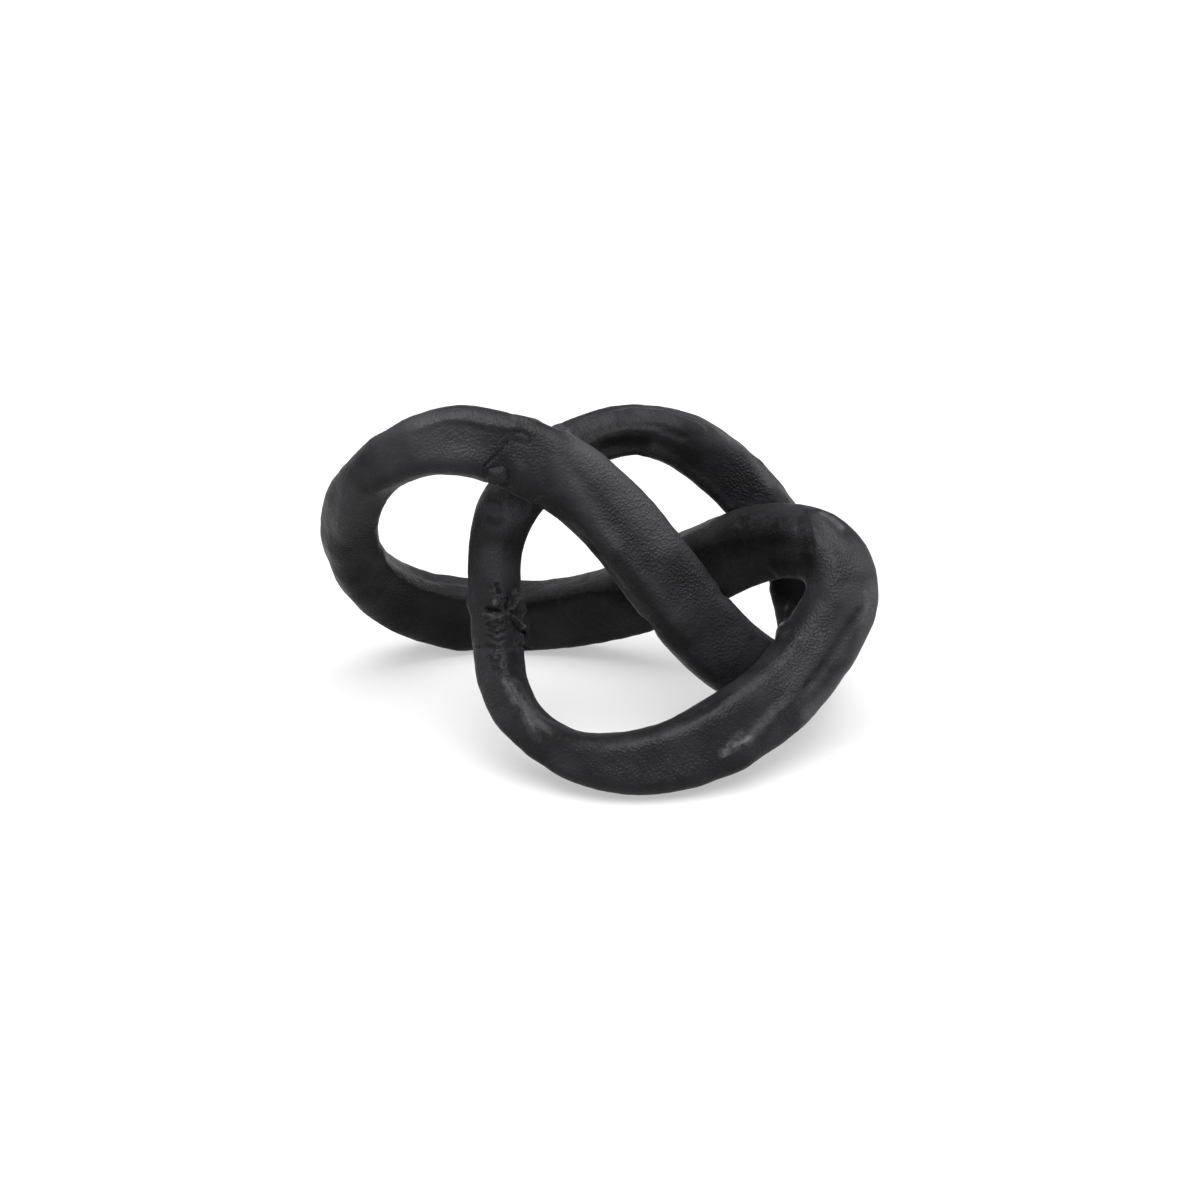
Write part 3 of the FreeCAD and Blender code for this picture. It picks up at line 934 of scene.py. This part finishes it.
@dataclass(frozen=True)
class WeldNub:
    """The short round stub of weld that stands under the shoulder, before the upright."""

    top_pixel: tuple[float, float] = (497.0, 468.0)
    sides: int = 64
    cuts: int = 5
    merge_distance: float = 0.01 * MM
    radius: float = 2.9 * MM
    height: float = 4.2 * MM
    proud: float = 0.7 * MM
    lean_degrees: tuple[float, float] = (6.0, -7.0)
    foot_flare: float = 0.42
    rim_rounding: float = 0.12
    rim_share: float = 1 / 7
    foot_tuck: float = 0.5
    tuck_from: float = 0.7
    painted_light_depth: float = 0.5 * MM
    painted_light_strength: float = 0.2
    wave: Waviness = Waviness("nub_wave", 2.6 * MM, 0.45 * MM)

    def flare(self, share: float) -> float:
        """The stub's width at a share of the way down it, beside its width at the top."""
        rim = self.rim_rounding * max(0.0, 1 - share / self.rim_share)
        return 1 + self.foot_flare * share - rim - self.foot_tuck * max(0.0, share - self.tuck_from)

    def build(self, surface: Surface) -> Piece:
        """Build the stub: a cylinder with a rounded rim, its top where the photograph has it."""
        outward = -surface.view.ray(*self.top_pixel)
        top = Vector(surface.trace(self.top_pixel)[0]) + outward * self.proud
        bpy.ops.object.select_all(action="DESELECT")
        bpy.ops.mesh.primitive_cylinder_add(
            vertices=self.sides, radius=self.radius, depth=self.height
        )
        piece = bpy.context.object
        piece.name = "shoulder_weld_nub"
        reach = self.height / 2
        lean = [math.radians(angle) for angle in self.lean_degrees]
        turn = Matrix.Rotation(lean[0], 4, "X") @ Matrix.Rotation(lean[1], 4, "Y")
        place = Matrix.Translation(top - Vector((0, 0, reach))) @ turn
        with edited(piece):
            bpy.ops.mesh.select_all(action="SELECT")
            bpy.ops.mesh.subdivide(number_cuts=self.cuts)
            mesh = bmesh.from_edit_mesh(piece.data)
            bmesh.ops.remove_doubles(mesh, verts=mesh.verts, dist=self.merge_distance)
            for vertex in mesh.verts:
                flare = self.flare((reach - vertex.co.z) / self.height)
                vertex.co.x *= flare
                vertex.co.y *= flare
            bmesh.ops.transform(mesh, matrix=place, verts=mesh.verts)
            bmesh.update_edit_mesh(piece.data)
        self.wave.add_to(piece)
        apply_modifiers(piece)
        # Painted light: the stub's top is painted pale, where light from above falls on it
        pale = piece.data.attributes.new(Paint.PALE.value, "FLOAT", "POINT")
        for vertex, value in zip(piece.data.vertices, pale.data):
            value.value = self.painted_light_strength if vertex.co.z > top.z - self.painted_light_depth else 0.0
        return piece


CROSSING_WELDS = (
    CrossingWeld("upper", 0.014, 0.362),
    CrossingWeld("lower", 0.133, 0.590),
    CrossingWeld("rear", 0.230, 0.679),
)


class Recipe:
    """A tree of shader nodes, built node by node: a finish, or the light round the knot."""

    def __init__(self, owner: bpy.types.Material | bpy.types.World) -> None:
        """Start an empty tree.

        Args:
            owner: the material or the world that the tree belongs to.
        """
        self.owner = owner
        owner.use_nodes = True
        self.tree = owner.node_tree
        self.tree.nodes.clear()

    @classmethod
    def of_material(cls, name: str) -> Recipe:
        """Start the tree of a new material."""
        return cls(bpy.data.materials.new(name))

    def add(self, kind: str, inputs: Inputs, output: str | int = 0, **options: object) -> Signal:
        """Add a node to the tree.

        Args:
            kind: the node's type, without its common first word.
            inputs: constants and signals by the input's name or number.
            output: the output that is handed on.
            options: the node's own settings.
        Returns:
            The node's output as a signal.
        """
        node = self.tree.nodes.new("ShaderNode" + kind)
        for name, value in options.items():
            setattr(node, name, value)
        for name, value in inputs.items():
            if isinstance(value, Signal):
                self.tree.links.new(value.socket, node.inputs[name])
            else:
                node.inputs[name].default_value = value
        return Signal(self, node.outputs[output] if node.outputs else None)

    def mix(self, share: Signal, first: object, second: object) -> Signal:
        """Mix two colours."""
        return self.add("Mix", {0: share, 6: first, 7: second}, 2, data_type="RGBA")

    def noise(
        self, pitch: float, detail: float = 2.0, roughness: float = 0.5, warp: float = 0.0
    ) -> Signal:
        """Cloudy noise with waves about a pitch apart, from 0 to 1."""
        place = self.add("TexCoord", {}, "Object")
        inputs = {"Vector": place, "Scale": 1 / pitch, "Detail": detail}
        return self.add("TexNoise", inputs | {"Roughness": roughness, "Distortion": warp})

    def cells(self, pitch: float, smoothness: float) -> Signal:
        """Rounded cells about a pitch apart: 0 at their middles."""
        place = self.add("TexCoord", {}, "Object")
        inputs = {"Vector": place, "Scale": 1 / pitch, "Smoothness": smoothness}
        return self.add("TexVoronoi", inputs, "Distance", feature="SMOOTH_F1")

    def painted(self, paint: Paint) -> Signal:
        """How strongly the piece's own points are painted."""
        return self.add("Attribute", {}, "Fac", attribute_name=paint.value)

    def bump(self, height: Signal, distance: float, beneath: Signal | None = None) -> Signal:
        """Raise the surface by a height signal, on top of another bump where one is given."""
        inputs = {"Height": height, "Distance": distance, "Strength": 1.0}
        return self.add("Bump", inputs if beneath is None else inputs | {"Normal": beneath})

    def finish(self, inputs: Inputs) -> bpy.types.Material:
        """Join the shader to the finish's end and hand the material over."""
        shader = self.add("BsdfPrincipled", inputs)
        self.add("OutputMaterial", {"Surface": shader})
        return self.owner


@dataclass(frozen=True)
class Signal:
    """A shader value that can be reckoned with."""

    recipe: Recipe
    socket: bpy.types.NodeSocket | None

    def reckon(self, operation: str, other: object, clamp: bool = False) -> Signal:
        """Add a Math node on this value and another."""
        return self.recipe.add("Math", {0: self, 1: other}, operation=operation, use_clamp=clamp)

    def __add__(self, other: object) -> Signal:
        """Sum."""
        return self.reckon("ADD", other)

    def __sub__(self, other: object) -> Signal:
        """Difference."""
        return self.reckon("SUBTRACT", other)

    def __rsub__(self, other: object) -> Signal:
        """Difference of a number and this value."""
        return self.recipe.add("Math", {0: other, 1: self}, operation="SUBTRACT")

    def __mul__(self, other: object) -> Signal:
        """Product."""
        return self.reckon("MULTIPLY", other)

    __radd__ = __add__
    __rmul__ = __mul__

    def limited(self) -> Signal:
        """The value kept from 0 to 1."""
        return self.reckon("ADD", 0.0, clamp=True)

    def spread(self, low: float, high: float, to_low: float = 0.0, to_high: float = 1.0) -> Signal:
        """The value's range from low to high, spread smoothly over another range."""
        ends = {"From Min": low, "From Max": high, "To Min": to_low, "To Max": to_high}
        inputs = {"Value": self} | ends
        return self.recipe.add("MapRange", inputs, interpolation_type="SMOOTHSTEP")


@dataclass(frozen=True)
class BlackenedIron:
    """Cast iron, blackened and waxed: near black, with grain, scuffed edges, painted light and
    painted shade.
    """

    name: str
    dark: Colour = (0.0045, 0.0044, 0.0051, 1)
    pale: Colour = (0.0101, 0.0099, 0.0111, 1)
    # Colour of the painted light, which lightens lit faces and places where shade falls
    painted_light_colour: Colour = (0.0300, 0.0292, 0.0322, 1)
    # Colour of bright wear on edges and scratches, also used for painted glints on rims and weld
    # tips
    wear_and_glint_colour: Colour = (0.066, 0.067, 0.069, 1)
    # Colour of the dark paint: dark stains, and painted shade in creases, pits and on shaded faces
    soot: Colour = (0.0015, 0.0015, 0.0018, 1)
    broad_pitch: float = 16 * MM
    patch_pitch: float = 26 * MM
    fine_pitch: float = 2.1 * MM
    grain_pitch: float = 0.95 * MM
    grain_depth: float = 0.31 * MM
    pit_pitch: float = 2.9 * MM
    pit_depth: float = 0.10 * MM
    swell_pitch: float = 5.5 * MM
    swell_depth: float = 0.14 * MM
    crumple_pitch: float = 1.5 * MM
    crumple_depth: float = 0.075 * MM
    ripple_pitch: float = 1.9 * MM
    ripple_depth: float = 0.0
    roughness: float = 0.47
    gloss: float = 0.10

    def build(self) -> bpy.types.Material:
        """Build the finish."""
        recipe = Recipe.of_material(self.name)
        broad = recipe.noise(self.broad_pitch, 3.0, 0.55)
        fine = recipe.noise(self.fine_pitch, 4.0, 0.6)
        patches = recipe.noise(self.patch_pitch).spread(0.42, 0.68, 0.20, 0.45)
        grain_share = (recipe.painted(Paint.GRAIN) + patches).limited()
        # Bright wear along with painted glints
        worn = (recipe.painted(Paint.WORN) * (fine.spread(0.38, 0.62) * 0.75 + 0.35)).limited()
        # Dark stains along with painted shade
        soot = (recipe.painted(Paint.SOOT) * fine.spread(0.25, 0.6, 0.5, 1.0)).limited()
        # Painted light: the pale paint lifts lit faces and shaded places towards a lighter colour
        painted_light_share = (recipe.painted(Paint.PALE) * (fine * 0.6 + 0.7)).limited()
        colour = recipe.mix(broad.spread(0.35, 0.7), self.dark, self.pale)
        colour = recipe.mix(fine.spread(0.55, 0.8, 0.0, 0.5), colour, self.pale)
        colour = recipe.mix(painted_light_share, colour, self.painted_light_colour)
        colour = recipe.mix(soot, colour, self.soot)
        colour = recipe.mix(worn, colour, self.wear_and_glint_colour)
        roughness = self.roughness - 0.15 + 0.16 * broad + 0.14 * fine - 0.06 * worn + 0.5 * soot
        pebbles = 1 - recipe.cells(self.grain_pitch, 0.35).spread(0.05, 0.75)
        pits = recipe.cells(self.pit_pitch, 0.2).spread(0.0, 0.26)
        relief = recipe.bump(recipe.noise(self.swell_pitch, 1.0), self.swell_depth)
        relief = recipe.bump(pebbles * (grain_share * 0.9 + 0.1), self.grain_depth, relief)
        relief = recipe.bump(pits, self.pit_depth, relief)
        relief = recipe.bump(recipe.noise(self.crumple_pitch, 1.0), self.crumple_depth, relief)
        if self.ripple_depth:
            ripples = recipe.noise(self.ripple_pitch, warp=0.6)
            relief = recipe.bump(ripples, self.ripple_depth, relief)
        return recipe.finish({
            "Base Color": colour,
            "Roughness": roughness.limited(),
            "Specular IOR Level": self.gloss,
            "Normal": relief,
        })


@dataclass(frozen=True)
class DowelSteel:
    """Turned steel of the pins inside the joints."""

    name: str = "turned_steel"
    dull: Colour = (0.42, 0.43, 0.44, 1)
    bright: Colour = (0.58, 0.59, 0.60, 1)
    turning_pitch: float = 0.6 * MM
    turning_depth: float = 0.01 * MM

    def build(self) -> bpy.types.Material:
        """Build the finish."""
        recipe = Recipe.of_material(self.name)
        fine = recipe.noise(self.turning_pitch, 3.0)
        return recipe.finish({
            "Base Color": recipe.mix(fine, self.dull, self.bright),
            "Metallic": 1.0,
            "Roughness": fine * 0.1 + 0.3,
            "Normal": recipe.bump(fine, self.turning_depth),
        })


@dataclass
class Studio:
    """The pale floor and the soft light round it."""

    floor_size: float = 40.0
    floor_shade: float = 0.22
    floor_mottle: float = 0.004
    mottle_pitch: float = 0.4
    floor_glow: float = 0.445
    surround: float = 0.35
    softbox: float = 10.0
    skirting: float = 0.85
    skirting_edges: tuple[float, float] = (0.03, 0.22)
    side_panels: float = 1.6
    side_edges: tuple[float, float] = (0.45, 0.95)
    softbox_way: tuple[float, float, float] = (0.02, -0.17, 0.95)
    softbox_edges: tuple[float, float] = (0.70, 0.96)

    def build(self) -> None:
        """Add the floor and the light."""
        bpy.context.scene.view_settings.view_transform = "Standard"
        self.add_floor()
        self.add_light()

    def add_floor(self) -> None:
        """Add the floor as a plain plane under the knot."""
        bpy.ops.object.select_all(action="DESELECT")
        bpy.ops.mesh.primitive_plane_add(size=self.floor_size)
        floor = bpy.context.object
        floor.name = "floor"
        shade = Recipe.of_material("pale_floor")
        mottle = shade.noise(self.mottle_pitch) * self.floor_mottle
        tone = mottle + (self.floor_shade - self.floor_mottle / 2)
        colour = shade.add("CombineColor", {0: tone, 1: tone, 2: tone})
        floor.data.materials.append(shade.finish({
            "Base Color": colour,
            "Roughness": 0.9,
            "Specular IOR Level": 0.1,
            "Emission Color": (1, 1, 1, 1),
            "Emission Strength": self.floor_glow,
        }))

    def add_light(self) -> None:
        """Light the scene from a pale surround with one large softbox overhead."""
        world = bpy.data.worlds.new("studio")
        recipe = Recipe(world)
        way = recipe.add("TexCoord", {}, "Generated")
        aim = Vector(self.softbox_way).normalized()
        toward = recipe.add("VectorMath", {0: way, 1: aim}, "Value", operation="DOT_PRODUCT")
        overhead = toward.spread(*self.softbox_edges, self.surround, self.softbox)
        sideways = recipe.add("SeparateXYZ", {0: way}, "X").reckon("ABSOLUTE", 0.0)
        panels = sideways.spread(*self.side_edges, 0.0, self.side_panels)
        rise = recipe.add("SeparateXYZ", {0: way}, "Z")
        skirting = rise.spread(*self.skirting_edges, self.skirting, 0.0)
        strength = overhead + panels + skirting
        lamp = recipe.add("Background", {"Color": (1, 1, 1, 1), "Strength": strength})
        recipe.add("OutputWorld", {"Surface": lamp})
        bpy.context.scene.world = world


@dataclass
class KnotSculpture:
    """The whole knot: its castings, welds and dowels in their finishes."""

    line: KnotLine
    view: PhotoView
    sharp_degrees: float = 42.0

    def __post_init__(self) -> None:
        """Make the finishes."""
        self.finishes = {
            Finish.CAST: BlackenedIron("blackened_iron").build(),
            Finish.BUTT_WELD: BlackenedIron(
                "blackened_weld", ripple_depth=0.1 * MM, roughness=0.45
            ).build(),
            Finish.CROSSING_WELD: BlackenedIron(
                "rough_weld", ripple_depth=0.25 * MM, roughness=0.5
            ).build(),
            Finish.DOWEL: DowelSteel().build(),
        }

    def dress(self, piece: Piece, finish: Finish, *nodes: str) -> None:
        """Give a piece its finish, smooth it, hang it on the body, and hide the nodes that it takes
        the place of.
        """
        piece.data.materials.clear()
        piece.data.materials.append(self.finishes[finish])
        select_only(piece)
        bpy.ops.object.shade_smooth_by_angle(angle=math.radians(self.sharp_degrees))
        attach(piece, BODY)
        if nodes:
            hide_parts(*nodes)
        LOG.info("%s: %d faces", piece.name, len(piece.data.polygons))

    def build(self) -> None:
        """Build every piece."""
        form = KnotForm(self.line).build()
        surface = Surface(form, self.view)
        for paint, spots in SPOTS.items():
            for spot in spots:
                surface.lay(paint, spot)
        for mark in MARKS:
            surface.press(mark)
        nub = WeldNub().build(surface)
        surface.write()
        made = Parting(self.line).part(form)
        for bar in Bar:
            made[bar.node].name = bar.node + "_casting"
            self.dress(made[bar.node], Finish.CAST, bar.node)
        for joint in Joint:
            made[joint.weld].name = joint.weld + "_bead"
            self.dress(made[joint.weld], Finish.BUTT_WELD, joint.weld)
        for weld in CROSSING_WELDS:
            self.dress(weld.build(self.line), Finish.CROSSING_WELD, weld.node)
        self.dress(nub, Finish.CROSSING_WELD)

    def dress_dowels(self, nodes: dict[str, Piece]) -> None:
        """Give the dowels their steel, as no piece is shown in their place."""
        for joint in Joint:
            dowel = nodes[joint.dowel]
            dowel.data.materials.clear()
            dowel.data.materials.append(self.finishes[Finish.DOWEL])


def main() -> None:
    """Build the knot's looks round the frame."""
    logging.basicConfig(level=logging.INFO, format="%(name)s: %(message)s")
    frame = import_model()
    view = PhotoView()
    view.place_camera()
    knot = KnotSculpture(KnotLine(KNOT_SHARES), view)
    knot.build()
    knot.dress_dowels(frame["nodes"])
    Studio().build()


if __name__ == "__main__":
    main()
